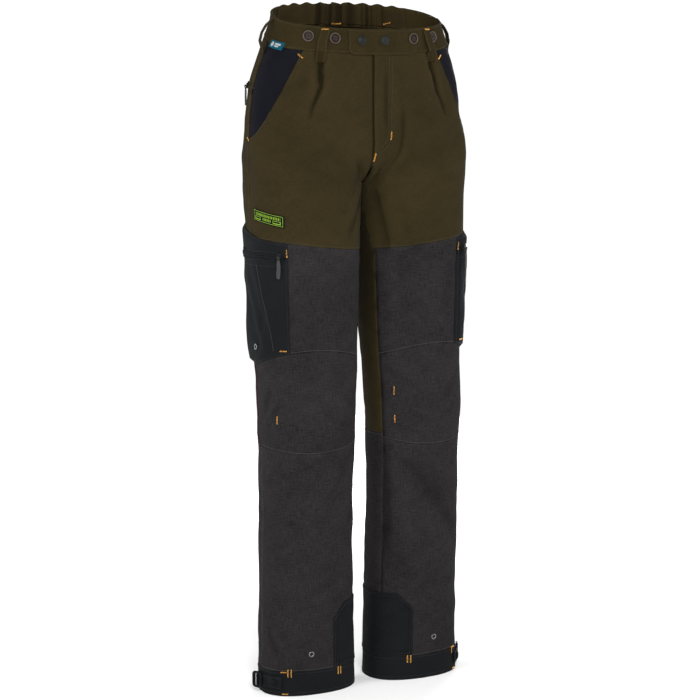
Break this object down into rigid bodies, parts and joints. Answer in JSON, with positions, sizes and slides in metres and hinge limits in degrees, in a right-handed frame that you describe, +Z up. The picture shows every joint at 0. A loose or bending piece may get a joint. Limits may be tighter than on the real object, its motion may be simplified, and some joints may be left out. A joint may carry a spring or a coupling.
{
  "type": "cut-protection work trousers",
  "caption": "Full-length forestry work trousers with padded front legs, zipped thigh pockets, snap waist tab, belt loops and strapped hem cuffs, standing as if worn.",
  "frame": {"origin": "bottom centre of the box around the trousers, on the surface the hems stand on", "axes": "+Z up towards the waist, -Y out of the front, +X towards the left leg of the wearer"},
  "size_m": [0.3782, 0.1724, 1.0987],
  "materials": {
    "olive_canvas": "matte fine twill",
    "grey_guard": "matte heathered canvas",
    "navy_stretch": "smooth matte stretch weave",
    "dark_ripstop": "close nylon weave with a faint sheen",
    "black_hem": "coated hem fabric",
    "guard_layers": "loose-laid protective knit",
    "pocket_lining": "plain weave",
    "waistband_cloth": "matte twill",
    "elastic": "ribbed woven elastic",
    "zip_tape": "woven tape with moulded teeth",
    "zip_metal": "satin dark lacquer",
    "pull_grip": "moulded soft grip",
    "snap_metal": "dark nickel",
    "button_plastic": "matte moulded",
    "buckle_plastic": "moulded, slightly glossy",
    "strap_webbing": "ribbed webbing",
    "label_cloth": "woven label",
    "badge_cloth": "woven badge with a bright edge"
  },
  "bodies": {
    "trousers": {"front_panel_left": "olive_canvas", "hip_stretch_panel_left": "navy_stretch", "thigh_guard_left": "grey_guard", "knee_panel_left": "grey_guard", "shin_panel_left": "grey_guard", "back_panel_left": "olive_canvas", "inner_leg_panel_left": "olive_canvas", "back_leg_panel_left": "grey_guard", "ankle_patch_left": "black_hem", "hem_cuff_left": "black_hem", "saw_guard_left": "guard_layers", "hand_pocket_bag_left": "pocket_lining", "cargo_pocket_left": "dark_ripstop", "cargo_zip_left": "zip_tape", "back_pocket_zip_left": "zip_tape", "waistband_front_left": "waistband_cloth", "front_panel_right": "olive_canvas", "hip_stretch_panel_right": "navy_stretch", "thigh_guard_right": "grey_guard", "knee_panel_right": "grey_guard", "shin_panel_right": "grey_guard", "back_panel_right": "olive_canvas", "inner_leg_panel_right": "olive_canvas", "back_leg_panel_right": "grey_guard", "ankle_patch_right": "black_hem", "hem_cuff_right": "black_hem", "saw_guard_right": "guard_layers", "hand_pocket_bag_right": "pocket_lining", "cargo_pocket_right": "dark_ripstop", "cargo_zip_right": "zip_tape", "back_pocket_zip_right": "zip_tape", "waistband_front_right": "waistband_cloth", "waistband_back": "waistband_cloth", "waist_elastic": "elastic", "belt_loops": "waistband_cloth", "brace_buttons": "button_plastic", "snap_studs": "snap_metal", "fly_zip": "zip_tape", "fly_shield": "olive_canvas", "eyelets": "snap_metal", "side_label": "label_cloth", "leg_badge": "badge_cloth"},
    "waist_tab": {"waist_tab": "waistband_cloth", "waist_snap_caps": "snap_metal"},
    "cargo_slider_left": {"cargo_slider_left": "zip_metal"},
    "cargo_pull_left": {"cargo_pull_left": "pull_grip"},
    "back_pocket_slider_left": {"back_pocket_slider_left": "zip_metal"},
    "back_pocket_pull_left": {"back_pocket_pull_left": "pull_grip"},
    "hem_strap_left": {"hem_strap_left": "strap_webbing", "hem_snap_cap_left": "snap_metal", "hem_buckle_left": "buckle_plastic"},
    "cargo_slider_right": {"cargo_slider_right": "zip_metal"},
    "cargo_pull_right": {"cargo_pull_right": "pull_grip"},
    "back_pocket_slider_right": {"back_pocket_slider_right": "zip_metal"},
    "back_pocket_pull_right": {"back_pocket_pull_right": "pull_grip"},
    "hem_strap_right": {"hem_strap_right": "strap_webbing", "hem_snap_cap_right": "snap_metal", "hem_buckle_right": "buckle_plastic"},
    "fly_slider": {"fly_slider": "zip_metal", "fly_pull": "zip_metal"}
  },
  "joints": [
    {"name": "waist_tab_open", "type": "hinge", "parent": "trousers", "child": "waist_tab", "pos_m": [0.032, -0.07747, 1.035], "axis": [0, 0, 1], "range_deg": [0, 110]},
    {"name": "cargo_zip_run_left", "type": "hinge", "parent": "trousers", "child": "cargo_slider_left", "pos_m": [0.1, -0.00767, 0.708], "axis": [0, 0, 1], "range_deg": [0, 79.5]},
    {"name": "cargo_pull_swing_left", "type": "hinge", "parent": "cargo_slider_left", "child": "cargo_pull_left", "pos_m": [0.16504, -0.07386, 0.708], "axis": [-0.7133, -0.7009, 0], "range_deg": [0, 150]},
    {"name": "back_pocket_zip_run_left", "type": "hinge", "parent": "trousers", "child": "back_pocket_slider_left", "pos_m": [0.079, -0.03317, 0.968], "axis": [0, 0, 1], "range_deg": [0, 43]},
    {"name": "back_pocket_pull_swing_left", "type": "hinge", "parent": "back_pocket_slider_left", "child": "back_pocket_pull_left", "pos_m": [0.17411, 0.02859, 0.968], "axis": [0.5446, -0.8387, 0], "range_deg": [0, 150]},
    {"name": "hem_strap_open_left", "type": "hinge", "parent": "trousers", "child": "hem_strap_left", "pos_m": [0.15689, -0.05899, 0.022], "axis": [0, 0, -1], "range_deg": [0, 80]},
    {"name": "cargo_zip_run_right", "type": "hinge", "parent": "trousers", "child": "cargo_slider_right", "pos_m": [-0.1, -0.00767, 0.708], "axis": [0, 0, -1], "range_deg": [0, 79.5]},
    {"name": "cargo_pull_swing_right", "type": "hinge", "parent": "cargo_slider_right", "child": "cargo_pull_right", "pos_m": [-0.16504, -0.07386, 0.708], "axis": [-0.7133, 0.7009, 0], "range_deg": [0, 150]},
    {"name": "back_pocket_zip_run_right", "type": "hinge", "parent": "trousers", "child": "back_pocket_slider_right", "pos_m": [-0.079, -0.03317, 0.968], "axis": [0, 0, -1], "range_deg": [0, 43]},
    {"name": "back_pocket_pull_swing_right", "type": "hinge", "parent": "back_pocket_slider_right", "child": "back_pocket_pull_right", "pos_m": [-0.17411, 0.02859, 0.968], "axis": [0.5446, 0.8387, 0], "range_deg": [0, 150]},
    {"name": "hem_strap_open_right", "type": "hinge", "parent": "trousers", "child": "hem_strap_right", "pos_m": [-0.15689, -0.05899, 0.022], "axis": [0, 0, 1], "range_deg": [0, 80]},
    {"name": "fly_zip_run", "type": "slide", "parent": "trousers", "child": "fly_slider", "axis": [0, 0, -1], "range_m": [0, 0.115]}
  ]
}
